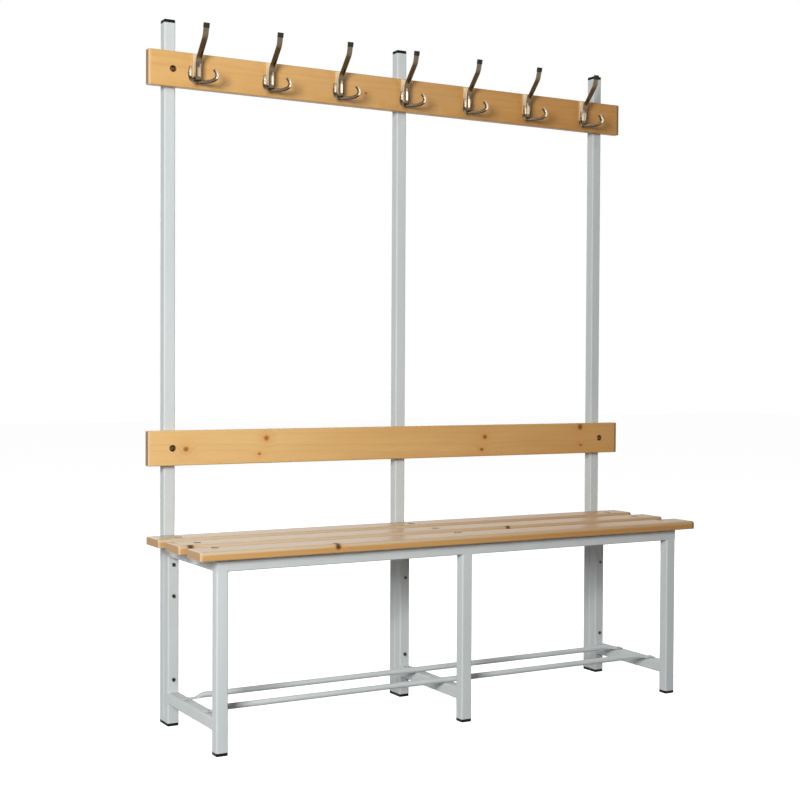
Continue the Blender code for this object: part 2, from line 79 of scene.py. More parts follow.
# Edges and shading of all pieces
SAME_PLACE = 1e-5
SAME_POINT = 1e-6
STRAIGHT_SHARE = 0.99
EDGE_STEPS = 3
SOFT_ANGLE = math.radians(35)
NORMAL_WEIGHT = 80

# Square steel tube and its welds
WELD_GAP = 0.0003
WELD_TAPER = 0.985
TUBE_CORNER = 0.0035
TUBE_WALL = 0.0015
TUBE_ROUNDING = 5
RAIL_END_EDGE = 0.0006
RAIL_END_STEPS = 2
VENT_RADIUS = 0.003
VENT_INSET = 0.050
ACCESS_RADIUS = 0.0065
BEAD_RADIUS = 0.0021
BEAD_LENGTH = 0.0245
BEAD_SIDES = 14
BEAD_RIPPLES = 26
BEAD_END_SHARE = 0.6
RIPPLE_LENGTH = 0.0022
RIPPLE_HEIGHT = 0.0011

# Black plastic feet and caps
GLIDE_HEIGHT = 0.0075
GLIDE_EDGE = 0.0012
CAP_HEIGHT = 0.0085
CAP_EDGE = 0.0022
CAP_STEPS = 4
FLANGE_GROOVE = 0.0004

# Pine boards
SLAT_EDGE = 0.0075
SLAT_LOWER_EDGE = 0.0030
BOARD_EDGE = 0.0035
BOARD_END_EDGE = 0.0025
BOARD_STEPS = 6
# how far the painted highlight on each board's left end reaches
LEFT_HIGHLIGHT_REACH = 0.009
RING_PITCH = 0.0062
BOLT_RECESS_RADIUS = 0.007
BOLT_RECESS = 0.007
SCREW_RECESS_RADIUS = 0.0080
SCREW_RECESS = 0.006
RECESS_SIDES = 40
RECESS_FLARE = 0.0007
RECESS_CLEARANCE = 0.001
SEAT_SCREW_RISE = 0.0014
SEAT_SCREW_SHIFTS = {"rear": -0.0118, "middle": 0, "front": 0.0266}
# width of the dark ring round each recess, partly stain and partly painted shade
RECESS_SHADE_WIDTH = 0.0024

# Pine finish: tones, shares that multiply a tone, and how strongly each mark shows;
# depths are measured from the board's middle
BOARD_FACE = -0.011
SLAT_NOSE = -0.045
SLAT_VARNISH = 0.6
BOARD_VARNISH = 0.3
GRAIN_SWAY = 0.018
GRAIN_WAVE = 0.0012
YEAR_SCALE = 60
YEAR_CHANGE = 2.4
STREAKS = 0.75
LATE_WOOD = 0.34
FIBRES = 0.20
# Painted light and shade along each board: its colour is painted paler towards the left end and darker
# towards the right end
LEFT_LIT_SHARE = (1.06, 1.13, 1.24)
RIGHT_SHADED_SHARE = (0.86, 0.78, 0.68)
# Painted shade: the last few millimetres before each board's right end are painted darker
RIGHT_END_SHADE_SHARE = (0.36, 0.42, 0.46)
RIGHT_END_SHADE_FROM = 0.0110
RIGHT_END_SHADE_TO = 0.0045
# Painted highlight: a pale band along each board's left end, and how strongly it shows
LEFT_PAINTED_HIGHLIGHT = (0.78, 0.53, 0.31)
LEFT_HIGHLIGHT_WEIGHT = 0.7
# Paler upper half of each slat: partly wear, partly a painted sheen
WEAR_AND_SHEEN_PINE = (0.57, 0.352, 0.152)
WEAR_AND_SHEEN_FROM = 0.0005
WEAR_AND_SHEEN_TO = 0.0105
# Pale rounded upper edges of the slats: partly rubbed wear, partly a painted highlight
WEAR_HIGHLIGHT_EDGE = (0.585, 0.438, 0.264)
WEAR_HIGHLIGHT_TO = 0.0060
WEAR_HIGHLIGHT = 0.85
WEAR_HIGHLIGHT_SLANT = (0.99, 0.85)
PINE_SHARES = ((1.04, 1.06, 1.12), (0.98, 0.95, 0.91), (0.97, 0.88, 0.77), (0.74, 0.62, 0.50))
SLAT_END_GRAIN = (0.47, 0.30, 0.155)
BOARD_END_GRAIN = (0.25, 0.145, 0.072)
END_GRAIN = 0.8
END_GRAIN_SLANT = (0.8, 0.98)
KNOT_HALO = (0.60, 0.250, 0.055)
HALO = 0.40
KNOT = 0.92
KNOT_RIM = 1.15
KNOT_CORE = 0.30
KNOT_STRETCH = 1.3
KNOT_WOBBLE = 0.0018
KNOT_REACH = 2.2
KNOT_PUSH = 1.1
RED_KNOT = Vector((0.48, 0.150, 0.012))
DARK_KNOT = Vector((0.050, 0.020, 0.007))
# Colour of each recess and the ring round it: partly stained wood, partly painted shade
DRILLED_WOOD_AND_SHADE = (0.070, 0.040, 0.012)

# Bolts and screws
BOLT_HEAD_RADIUS = 0.00525
BOLT_HEAD_HEIGHT = 0.0033
BOLT_DOME_SHARE = 0.62
BOLT_SOCKET_RADIUS = 0.0022
BOLT_SOCKET_DEPTH = 0.002
SCREW_HEAD_RADIUS = 0.00475
SCREW_HEAD_HEIGHT = 0.0028
SCREW_DOME_SHARE = 0.55
SCREW_CROSS_LENGTH = 0.0052
SCREW_CROSS_WIDTH = 0.0011
SCREW_CROSS_DEPTH = 0.0016
HEAD_SIDES = 32
SOCKET_SIDES = 6
DOME_STEPS = 5

# Shoe rods
ROD_RADIUS = 0.0075
ROD_SIDES = 32
ROD_FLAT_WIDTH = 0.0229
ROD_FLAT_HEIGHT = 0.003
ROD_FLAT_LENGTH = 0.030
ROD_NECK_LENGTH = 0.028
ROD_NECK_STEPS = 8
ROD_TIP_LENGTH = 0.005
ROD_TIP_STEPS = 4
ROD_TIP_SHARE = 0.55

# Coat hooks, measured forward from the board and up from the strap's underside
HOOK_COUNT = 7
HOOK_FOOT = 0.015
HOOK_WIDTH = 0.015
HOOK_THICKNESS = 0.004
HOOK_CROWN_WIDTH = 0.0215
HOOK_CORNER = 0.0010
HOOK_CORNER_STEPS = 4
HOOK_PLATE_HEIGHT = 0.072
HOOK_BEND = 0.0095
HOOK_STEM_HEIGHT = 0.055
HOOK_LEAN = Vector((0.047, 0.051))
HOOK_TIP = Vector((0.008, 0.0305))
HOOK_STEM_BEND = 0.030
HOOK_TIP_BEND = 0.035
HOOK_FOOT_STEPS = 20
HOOK_STEM_STEPS = 10
HOOK_TIP_STEPS = 8
HOOK_SECTION_SIDES = 64
HOOK_PLATE_EDGE = 0.0006
HOOK_SCREW_HEIGHTS = (0.029, 0.060)
HOOK_SCREW_RISE = 0.0007
TIP_CAP_WIDTH = 0.0162
TIP_CAP_THICKNESS = 0.0056
TIP_CAP_LENGTH = 0.0120
TIP_CAP_OVERLAP = 0.0006
TIP_CAP_EDGE = 0.0009
PRONG_RADIUS = 0.0050
PRONG_CURL_RADIUS = 0.0051
PRONG_TIP_RADIUS = 0.0043
PRONG_MIDDLE = Vector((0, -0.0095, 0.0004))
PRONG_SWEEP = Vector((0.028, -0.0305, -0.0034))
PRONG_CURL = Vector((0.0450, -0.0735, -0.0008))
PRONG_TIP = Vector((0.0325, -0.0485, 0.0280))
PRONG_ROUNDING = 5
PRONG_STEPS = 24
PRONG_CUTS = 2
PRONG_TIP_ROUNDING = ((0.45, 0.86), (0.35, 0.62), (0.2, 0.45))

# Steel paint and plating
PAINT_DARK = (0.585, 0.622, 0.620)
PAINT_LIGHT = (0.630, 0.665, 0.664)
PAINT_SPECK = (0.36, 0.36, 0.34)
RIM_SLANT = (0.95, 0.80)

# Nickel finish with painted reflections and highlights, set by which way the surface faces; a mask goes from
# nothing to full between two normals, depths or heights
NICKEL_PAINTED_SHADE = (0.052, 0.029, 0.011)
NICKEL_PAINTED_HIGHLIGHT = (0.86, 0.72, 0.53)
NICKEL_PAINTED_REFLECTION = ((0.15, 0.0), (0.375, 0.17), (0.475, 0.11), (0.525, 0.11), (0.66, 0.34), (0.85, 0.42))
# Painted reflection: the back plate is painted a pale cream, duller and less metallic
PLATE_REFLECTION_DARK = (0.72, 0.55, 0.34)
PLATE_REFLECTION_LIGHT = (0.82, 0.66, 0.45)
PLATE_REFLECTION_DEPTHS = (-0.0075, -0.0050)
PLATE_REFLECTION_HEIGHTS = (0.010, 0.018)
# Painted highlights on the fronts of the prongs and the lower stem
PRONG_HIGHLIGHT_FACING = (-0.66, -0.90)
PRONG_HIGHLIGHT_DEPTHS = (-0.026, -0.031)
STEM_HIGHLIGHT_FACING = (-0.9965, -0.9995)
STEM_HIGHLIGHT_HEIGHTS = (0.008, 0.016)
STEM_HIGHLIGHT_SHARE = 0.62
HIGHLIGHT_BAND_HEIGHTS = (0.042, 0.030)
HIGHLIGHT_BAND_STRENGTH = 0.95


def deselect():
    """Leaves edit mode and selects nothing."""
    if bpy.context.object and bpy.context.object.mode == "EDIT":
        bpy.ops.object.mode_set(mode="OBJECT")
    bpy.ops.object.select_all(action="DESELECT")


def take(piece):
    """Makes one piece the only selected and active object."""
    deselect()
    piece.select_set(True)
    bpy.context.view_layer.objects.active = piece


def pick(piece, kind, wanted):
    """Opens a piece in edit mode with those faces, edges or vertices selected that are wanted."""
    if piece.mode != "EDIT":
        take(piece)
        bpy.ops.object.mode_set(mode="EDIT")
    bpy.ops.mesh.select_mode(type=kind)
    bpy.ops.mesh.select_all(action="DESELECT")
    shape = bmesh.from_edit_mesh(piece.data)
    for part in {"FACE": shape.faces, "EDGE": shape.edges, "VERT": shape.verts}[kind]:
        part.select_set(wanted(part))
    shape.select_flush_mode()
    bmesh.update_edit_mesh(piece.data)


def pick_all(piece):
    """Opens a piece in edit mode with all of it selected."""
    pick(piece, "FACE", lambda face: True)


def leave(piece):
    """Goes back to object mode and returns the piece."""
    bpy.ops.object.mode_set(mode="OBJECT")
    return piece


def apply_place(piece):
    """Puts the piece's place, turn and size into its mesh."""
    take(piece)
    bpy.ops.object.transform_apply(location=True, rotation=True, scale=True)
    return piece


def block(name, low, high):
    """A cube stretched between two corners."""
    deselect()
    bpy.ops.mesh.primitive_cube_add(size=1, location=(low + high) / 2, scale=high - low)
    piece = bpy.context.object
    piece.name = name
    return apply_place(piece)


def round_bar(name, radius, low, high, sides=HEAD_SIDES):
    """An upright cylinder round the origin's axis, from height low to height high."""
    deselect()
    bpy.ops.mesh.primitive_cylinder_add(
        vertices=sides, radius=radius, depth=high - low, location=(0, 0, (low + high) / 2))
    piece = bpy.context.object
    piece.name = name
    return apply_place(piece)


def runs_along(edge, axis):
    """Whether an edge runs along that axis."""
    way = edge.verts[1].co - edge.verts[0].co
    return abs(way[axis]) > STRAIGHT_SHARE * way.length


def lies_at(part, axis, place):
    """Whether all corners of an edge or face have that coordinate."""
    return all(abs(corner.co[axis] - place) < SAME_PLACE for corner in part.verts)


def bevel(width, steps):
    """Rounds the selected edges."""
    bpy.ops.mesh.bevel(offset=width, segments=steps, affect="EDGES", clamp_overlap=False)


def draw_out(way):
    """Draws the selected face out."""
    bpy.ops.mesh.extrude_region_move(TRANSFORM_OT_translate={"value": way})


def finish_modifier(piece, kind, **settings):
    """Adds a modifier and applies it."""
    modifier = piece.modifiers.new(kind.lower(), kind)
    for name, setting in settings.items():
        setattr(modifier, name, setting)
    take(piece)
    bpy.ops.object.modifier_apply(modifier=modifier.name)


def cut(piece, tool, operation="DIFFERENCE"):
    """Cuts a piece with a tool, or joins the tool to it, and removes the tool."""
    finish_modifier(piece, "BOOLEAN", object=tool, operation=operation, solver="MANIFOLD")
    bpy.data.objects.remove(tool, do_unlink=True)


def turned(piece, direction, place):
    """Turns a piece that stands along Z to a direction, and moves it to its place."""
    turn = UP.rotation_difference(direction).to_matrix().to_4x4()
    piece.data.transform(Matrix.Translation(place) @ turn)
    return piece


def copy_of(pattern, name, direction=UP, place=Vector((0, 0, 0))):
    """A copy with its own mesh, turned and moved."""
    piece = pattern.copy()
    piece.data = pattern.data.copy()
    piece.name = name
    bpy.context.scene.collection.objects.link(piece)
    return turned(piece, direction, place)


def joined(name, pieces):
    """Several pieces as one."""
    deselect()
    for piece in pieces:
        piece.select_set(True)
    bpy.context.view_layer.objects.active = pieces[0]
    bpy.ops.object.join()
    pieces[0].name = name
    return pieces[0]


def smooth(piece):
    """Shades a piece smooth across soft edges, with its flat faces kept flat."""
    take(piece)
    bpy.ops.object.shade_smooth_by_angle(angle=SOFT_ANGLE)
    finish_modifier(piece, "WEIGHTED_NORMAL", keep_sharp=True, weight=NORMAL_WEIGHT)


def dress(piece, material, slot, *nodes):
    """Gives a finished piece its material and its place in the frame."""
    smooth(piece)
    piece.data.materials.clear()
    piece.data.materials.append(material)
    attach(piece, "root")
    if nodes:
        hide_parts(*nodes)


def middle_of(node):
    """The middle of a node's box."""
    low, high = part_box(node)
    return (low + high) / 2


class Value:
    """A socket in a material's node tree; sums, products and powers of values add Math nodes."""

    def __init__(self, tree, socket):
        self.tree = tree
        self.socket = socket

    def feed(self, node, inputs):
        """Links or sets the sockets of a node."""
        for name, value in inputs.items():
            if isinstance(value, Value):
                self.tree.links.new(value.socket, node.inputs[name])
            else:
                node.inputs[name].default_value = value

    def node(self, kind, settings, inputs, outputs=0):
        """Adds a node of any kind: its settings first, then its sockets; returns one output or several."""
        node = self.tree.nodes.new("ShaderNode" + kind)
        for name, setting in settings.items():
            if name == "stops":
                ramp = node.color_ramp.elements
                for place, grey in setting[1:-1]:
                    ramp.new(place)
                for element, (place, grey) in zip(ramp, setting):
                    element.position = place
                    element.color = (grey, grey, grey, 1)
            else:
                setattr(node, name, setting)
        self.feed(node, inputs)
        if isinstance(outputs, tuple):
            return [Value(self.tree, node.outputs[name]) for name in outputs]
        return Value(self.tree, node.outputs[outputs])

    def math(self, operation, *values):
        """A Math node on the values, or on this one if none are given."""
        return self.node("Math", {"operation": operation}, dict(enumerate(values or (self,))))

    def __add__(self, other):
        return self.math("ADD", self, other)

    def __radd__(self, other):
        return self.math("ADD", other, self)

    def __sub__(self, other):
        return self.math("SUBTRACT", self, other)

    def __rsub__(self, other):
        return self.math("SUBTRACT", other, self)

    def __mul__(self, other):
        return self.math("MULTIPLY", self, other)

    def __rmul__(self, other):
        return self.math("MULTIPLY", other, self)

    def __truediv__(self, other):
        return self.math("DIVIDE", self, other)

    def __pow__(self, other):
        return self.math("POWER", self, other)

    def parts(self, axes):
        """The coordinates along some axes, named by their letters."""
        return self.node("SeparateXYZ", {}, {"Vector": self}, tuple(axes))

    def facing(self, axes):
        """The parts of the surface's normal along some axes."""
        return self.node("NewGeometry", {}, {}, "Normal").parts(axes)

    def ramp(self, *stops):
        """The value through grey stops, each a place and a grey."""
        return self.node("ValToRGB", {"stops": stops}, {"Fac": self})

    def between(self, start, end):
        """0 before start and 1 after end, or the other way round, with a soft step."""
        return self.node("MapRange", {"interpolation_type": "SMOOTHSTEP"},
                         {"Value": self, "From Min": start, "From Max": end})

    def mix(self, one, other):
        """Two colours, mixed by this value."""
        ends = [colour if isinstance(colour, Value) else (*colour, 1) for colour in (one, other)]
        return self.node("Mix", {"data_type": "RGBA"}, {0: self, 6: ends[0], 7: ends[1]}, 2)

    def times(self, other):
        """This colour multiplied by another."""
        settings = {"data_type": "RGBA", "blend_type": "MULTIPLY"}
        return self.node("Mix", settings, {0: 1.0, 6: self, 7: other}, 2)

    def scaled(self, scale, shift=(0, 0, 0)):
        """Coordinates stretched and shifted."""
        return self.node("Mapping", {}, {"Vector": self, "Scale": scale, "Location": shift})

    def noise(self, scale, detail=2, roughness=0.5):
        """Soft noise over these coordinates."""
        inputs = {"Vector": self, "Scale": scale, "Detail": detail, "Roughness": roughness}
        return self.node("TexNoise", {}, inputs)

    def bump(self, strength, distance):
        """A normal from this height."""
        return self.node("Bump", {}, {"Height": self, "Strength": strength, "Distance": distance})


def new_finish(name):
    """A material, its Principled shader, and the Object coordinates that its pattern reads."""
    material = bpy.data.materials.new(name)
    material.use_nodes = True
    tree = material.node_tree
    place = Value(tree, tree.nodes.new("ShaderNodeTexCoord").outputs["Object"])
    return material, tree.nodes["Principled BSDF"], place


def pine(name, flat, middle, reach, shine, tone, end_tone, heart, drift, seed, knots, holes):
    """Varnished pine: year rings round a heart line beside the board, fibres along it, knots and holes. Its
    colour also carries painted light and shade: paler towards the left end with a painted highlight on it,
    darker towards the right end with painted shade on it, partly painted sheen and highlight on the slats'
    upper edges, and partly painted shade in and round the holes.

    A knot is a point on the surface, along, across and in depth from the board's middle, with its radius
    and darkness; it grows out from the heart line. A hole is its place along and across, and its radius."""
    material, shader, place = new_finish(name)
    along, second, third = place.parts("XYZ")
    across = (second if flat else third) - (middle.y if flat else middle.z)
    depth = (third if flat else second) - (middle.z if flat else middle.y)
    slow = place.scaled((1.1, 7, 7), (seed, 2 * seed, seed)).noise(1.0, 3)
    wave = place.scaled((5, 60, 60), (seed, 0, seed)).noise(1.0, 2)
    fibre = place.scaled((14, 1100, 1100), (0, seed, 0)).noise(1.0, 3, 0.6)
    patch = place.scaled((2.3, 14, 14), (3 * seed, seed, 0)).noise(1.0, 2)
    streak = place.scaled((0.9, 34, 34), (2 * seed, seed, 3 * seed)).noise(1.0, 3)
    push = GRAIN_SWAY * (slow - 0.5) + GRAIN_WAVE * (wave - 0.5)
    marks = []
    for at, aside, level, radius, dark in knots:
        out = Vector((aside - heart[0], level - heart[1])).normalized()
        off = out.y * (across - heart[0]) - out.x * (depth - heart[1])
        away = (((along - at) / KNOT_STRETCH) ** 2 + off ** 2) ** 0.5 + KNOT_WOBBLE * (wave - 0.5)
        near = (-1.0 * (away / (KNOT_REACH * radius)) ** 2).math("EXPONENT")
        push = push + KNOT_PUSH * radius * near
        core = away.between(KNOT_RIM * radius, KNOT_CORE * radius)
        marks.append((near, core, RED_KNOT.lerp(DARK_KNOT, dark)))
    ring = ((across - heart[0] + drift * along) ** 2 + (depth - heart[1]) ** 2) ** 0.5 + push
    years = place.node("CombineXYZ", {}, {"X": YEAR_SCALE * ring, "Y": seed})
    rings = ring / RING_PITCH + YEAR_CHANGE * years.noise(1.0, 2)
    late = rings.math("FRACT").ramp((0.0, 0.0), (0.5, 0.12), (0.86, 1.0), (0.95, 0.8), (1.0, 0.0))
    late = late * years.scaled((1.7, 1, 1), (seed, 0, 0)).noise(1.0, 1).between(0.32, 0.72)
    pale, honey, red, amber = [
        tuple(share * part for share, part in zip(shares, tone)) for shares in PINE_SHARES]
    colour = patch.ramp((0.3, 0), (0.7, 1)).mix(pale, honey)
    colour = (STREAKS * streak.between(0.48, 0.72)).mix(colour, red)
    colour = (LATE_WOOD * late).mix(colour, amber)
    colour = (FIBRES * fibre.ramp((0.35, 1), (0.62, 0))).mix(colour, amber)
    side, upward = place.facing("XZ")
    end_grain = side.math("ABSOLUTE").between(*END_GRAIN_SLANT)
    if flat:
        # paler upper half of each slat: partly wear, partly a painted sheen
        wear_and_sheen_share = [worn / fresh for worn, fresh in zip(WEAR_AND_SHEEN_PINE, tone)]
        colour = colour.times(depth.between(WEAR_AND_SHEEN_FROM, WEAR_AND_SHEEN_TO).mix((1, 1, 1), wear_and_sheen_share))
        # pale rounded upper edges: partly rubbed wear, partly a painted highlight
        wear_highlight = depth.between(WEAR_AND_SHEEN_FROM, WEAR_HIGHLIGHT_TO) * upward.between(*WEAR_HIGHLIGHT_SLANT)
        colour = (WEAR_HIGHLIGHT * wear_highlight).mix(colour, WEAR_HIGHLIGHT_EDGE)
    # painted light and shade: the wood is painted paler towards the left end and darker towards the right
    # end, and its varnish thins towards the right
    lit_to_shaded = along.between(-reach, reach)
    colour = colour.times(lit_to_shaded.mix(LEFT_LIT_SHARE, RIGHT_SHADED_SHARE))
    for halo, core, knot in marks:
        colour = (HALO * halo).mix(colour, KNOT_HALO)
    varnish = shine * (1.3 - 0.8 * lit_to_shaded)
    dull = 0.15 * end_grain
    for halo, core, knot in marks:
        colour = (KNOT * core).mix(colour, knot)
        varnish = varnish * (1.0 - 0.85 * core)
        dull = dull + 0.3 * core
    # each recess and a ring round it are painted dark: partly a stain, partly painted shade of the recess
    for at, aside, radius in holes:
        away = ((along - at) ** 2 + (across - aside) ** 2) ** 0.5
        stain_and_shade = away.between(radius + RECESS_SHADE_WIDTH, radius + 0.4 * RECESS_SHADE_WIDTH)
        colour = stain_and_shade.mix(colour, DRILLED_WOOD_AND_SHADE)
        varnish = varnish * (1.0 - stain_and_shade)
        dull = dull + 0.5 * stain_and_shade
    # painted highlight along the left end of each board
    left_end_highlight = along.between(LEFT_HIGHLIGHT_REACH - reach, BOARD_END_EDGE - reach)
    colour = (LEFT_HIGHLIGHT_WEIGHT * left_end_highlight).mix(colour, LEFT_PAINTED_HIGHLIGHT)
    # painted shade on the right end of each board
    right_end_shade = along.between(reach - RIGHT_END_SHADE_FROM, reach - RIGHT_END_SHADE_TO)
    colour = colour.times(right_end_shade.mix((1, 1, 1), RIGHT_END_SHADE_SHARE))
    colour = (END_GRAIN * end_grain).mix(colour, end_tone)
    place.feed(shader, {
        "Base Color": colour,
        "Roughness": 0.40 + 0.10 * fibre + dull,
        "Normal": (0.6 * fibre + 0.4 * late).bump(0.10, 0.0004),
        "Specular IOR Level": 0.3,
        "Coat Weight": varnish * (1.0 - end_grain),
        "Coat Roughness": 0.26,
    })
    return material


def light_grey_paint():
    """Satin powder coat: orange peel, a little cloudiness and a few specks."""
    material, shader, place = new_finish("light_grey_paint")
    peel = place.noise(620, 2)
    cloud = place.scaled((1, 1, 0.35)).noise(9, 3)
    speck = place.noise(1900, 1).ramp((0.70, 0), (0.76, 1))
    colour = cloud.ramp((0.3, 0), (0.7, 1)).mix(PAINT_DARK, PAINT_LIGHT)
    colour = (0.10 * speck).mix(colour, PAINT_SPECK)
    place.feed(shader, {
        "Base Color": colour,
        "Roughness": 0.36 + 0.10 * cloud + 0.06 * peel,
        "Specular IOR Level": 0.35,
        "Normal": peel.bump(0.06, 0.0003),
    })
    return material


def moulded_plastic(name, dark, light):
    """Moulded plastic with a fine sparked texture."""
    material, shader, place = new_finish(name)
    spark = place.noise(2600, 2)
    cloud = place.noise(60, 2)
    place.feed(shader, {
        "Base Color": cloud.mix(dark, light),
        "Roughness": 0.50 + 0.18 * cloud,
        "Specular IOR Level": 0.14,
        "Normal": spark.bump(0.15, 0.0002),
    })
    return material


def metal(name, dark, light, rim, rough, grain):
    """Plated metal with soft patches and fine scratches; slanted faces are worn to the rim's tone."""
    material, shader, place = new_finish(name)
    patch = place.noise(85, 3)
    scratch = place.noise(grain, 2)
    [facing] = place.facing("Y")
    slant = facing.math("ABSOLUTE").between(*RIM_SLANT)
    colour = (0.6 * patch + 0.4 * scratch).ramp((0.35, 0), (0.65, 1)).mix(dark, light)
    place.feed(shader, {
        "Base Color": slant.mix(colour, rim),
        "Metallic": 1.0,
        "Roughness": rough + 0.12 * patch + 0.10 * scratch,
        "Normal": scratch.bump(0.04, 0.0002),
    })
    return material


def dark_nickel(board_face, foot):
    """Nickel with painted reflections: painted dark where it looks down and paler where it looks up, painted
    highlights on the fronts of stem and prongs, and a painted pale reflection on the dull plate.
    """
    material, shader, place = new_finish("dark_nickel")
    patch = place.noise(85, 3)
    scratch = place.scaled((1500, 300, 120)).noise(1.0, 2)
    worn = 0.08 * (patch - 0.5) + 0.11 * (scratch - 0.5)
    back, up = place.parts("YZ")
    depth = back - board_face
    height = up - foot
    backward, upward = place.facing("YZ")
    # painted highlights: bright bands where the prongs and the lower stem face the front
    prong_highlight = backward.between(*PRONG_HIGHLIGHT_FACING) * depth.between(*PRONG_HIGHLIGHT_DEPTHS)
    stem = backward.between(*STEM_HIGHLIGHT_FACING) * height.between(*STEM_HIGHLIGHT_HEIGHTS)
    highlight_band = (prong_highlight + STEM_HIGHLIGHT_SHARE * stem) * height.between(*HIGHLIGHT_BAND_HEIGHTS)
    # painted reflection: the plate on the board is painted pale cream
    plate = depth.between(*PLATE_REFLECTION_DEPTHS) * height.between(*PLATE_REFLECTION_HEIGHTS)
    # painted reflection: darker where the surface looks down, paler where it looks up
    painted_reflection = (0.5 + 0.5 * upward + worn).ramp(*NICKEL_PAINTED_REFLECTION)
    painted_reflection = painted_reflection.math("MAXIMUM", painted_reflection, HIGHLIGHT_BAND_STRENGTH * highlight_band)
    colour = painted_reflection.mix(NICKEL_PAINTED_SHADE, NICKEL_PAINTED_HIGHLIGHT)
    colour = plate.mix(colour, (worn + 0.5).mix(PLATE_REFLECTION_DARK, PLATE_REFLECTION_LIGHT))
    place.feed(shader, {
        "Base Color": colour,
        "Metallic": 1.0 - 0.6 * plate,
        "Roughness": 0.06 + 0.08 * patch + 0.06 * scratch + 0.30 * plate,
        "Normal": scratch.bump(0.04, 0.0002),
    })
    return material


PAINT = light_grey_paint()
PLASTIC = moulded_plastic("black_plastic", (0.003, 0.003, 0.003), (0.007, 0.007, 0.006))
TIP_PLASTIC = moulded_plastic("brown_black_plastic", (0.026, 0.024, 0.016), (0.044, 0.040, 0.028))
STEEL = metal(
    "dark_bolt_steel", (0.026, 0.023, 0.017), (0.052, 0.046, 0.034), (0.36, 0.34, 0.30), 0.34, 900)
ZINC = metal("bright_zinc", (0.42, 0.42, 0.42), (0.58, 0.58, 0.57), (0.52, 0.52, 0.52), 0.22, 700)
BRONZE = metal("bronzed_bolt", (0.12, 0.075, 0.026), (0.20, 0.13, 0.05), (0.36, 0.25, 0.12), 0.30, 900)
YELLOW_ZINC = metal("yellow_zinc", (0.29, 0.22, 0.13), (0.42, 0.33, 0.20), (0.34, 0.26, 0.15), 0.22, 700)
NICKEL = dark_nickel(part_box("coat_hook_1")[1].y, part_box("hook_rail")[0].z + HOOK_FOOT)


def tube(node, welded=(), top=None):
    """A square tube, its long edges rounded as in drawn steel; a welded end tapers into its neighbour."""
    low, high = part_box(node)
    if top is not None:
        high.z = top
    size = high - low
    axis = max((X, Y, Z), key=lambda way: size[way])
    piece = block("painted_" + node, low, high)
    pick(piece, "EDGE", lambda edge: runs_along(edge, axis))
    bevel(TUBE_CORNER, TUBE_ROUNDING)
    for way in welded:
        end = high[axis] if way > 0 else low[axis]
        pick(piece, "FACE", lambda face: lies_at(face, axis, end))
        step = Vector((0, 0, 0))
        step[axis] = way * (WELD_GAP + TUBE_CORNER)
        draw_out(step)
        middle = (low + high) / 2
        middle[axis] = end + step[axis]
        bpy.ops.transform.resize(value=(WELD_TAPER, WELD_TAPER, WELD_TAPER), center_override=middle)
    return leave(piece), low, high


def legs_and_crossbars():
    """Six legs and six crossbars, their ends let into what they are welded to."""
    for side in FRAMES:
        for row in ("front_leg_", "rear_leg_"):
            dress(tube(row + side, (1,))[0], PAINT, "paint", row + side)
        for row in ("seat_crossbar_", "lower_crossbar_"):
            dress(tube(row + side, (-1, 1))[0], PAINT, "paint", row + side)


def rails():
    """Two rails with softened end plates and a vent hole near each end of the underside."""
    for node in ("front_rail", "rear_rail"):
        piece, low, high = tube(node)
        for end in (low.x, high.x):
            pick(piece, "EDGE", lambda edge: lies_at(edge, X, end))
            bevel(RAIL_END_EDGE, RAIL_END_STEPS)
        leave(piece)
        middle = (low + high) / 2
        for x in (low.x + VENT_INSET, high.x - VENT_INSET):
            hole = round_bar("vent", VENT_RADIUS, -TUBE_WALL, TUBE_WALL)
            cut(piece, turned(hole, UP, Vector((x, middle.y, low.z))))
        dress(piece, PAINT, "paint", node)


def posts():
    """Three posts; the middle one is hollow, with a screwdriver's hole in its back behind each board."""
    for side in FRAMES:
        node = "post_" + side
        piece, low, high = tube(node, top=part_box("post_cap_" + side)[1].z - CAP_HEIGHT)
        if side == "middle":
            wall = Vector((TUBE_WALL, TUBE_WALL, TUBE_WALL))
            cut(piece, block("hollow", low + wall, high - wall))
            for screw in ("backrest_screw_middle", "hook_rail_screw_middle"):
                place = middle_of(screw)
                hole = round_bar("access", ACCESS_RADIUS, -2 * TUBE_WALL, 2 * TUBE_WALL)
                cut(piece, turned(hole, BACK, Vector((place.x, high.y, place.z))))
        dress(piece, PAINT, "paint", node)


def weld_bead():
    """One fillet weld along X, rippled along its length, with rounded ends."""
    piece = round_bar("bead", BEAD_RADIUS, -BEAD_LENGTH / 2, BEAD_LENGTH / 2, BEAD_SIDES)
    pick(piece, "EDGE", lambda edge: runs_along(edge, Z))
    bpy.ops.mesh.subdivide(number_cuts=BEAD_RIPPLES)
    for end in (-BEAD_LENGTH / 2, BEAD_LENGTH / 2):
        pick(piece, "EDGE", lambda edge: lies_at(edge, Z, end))
        bevel(BEAD_RADIUS * BEAD_END_SHARE, EDGE_STEPS)
    leave(piece)
    ripple = bpy.data.textures.new("weld_ripple", "CLOUDS")
    ripple.noise_scale = RIPPLE_LENGTH
    finish_modifier(
        piece, "DISPLACE", texture=ripple, strength=RIPPLE_HEIGHT, mid_level=0.5, texture_coords="LOCAL")
    return turned(piece, SIDEWAYS, Vector((0, 0, 0)))


def lay_bead(pattern, number, along, place):
    """A copy of the weld bead, turned along its seam."""
    bead = copy_of(pattern, "bead_" + str(number))
    turn = SIDEWAYS.rotation_difference(along).to_matrix().to_4x4()
    bead.data.transform(Matrix.Translation(place) @ turn)
    return bead


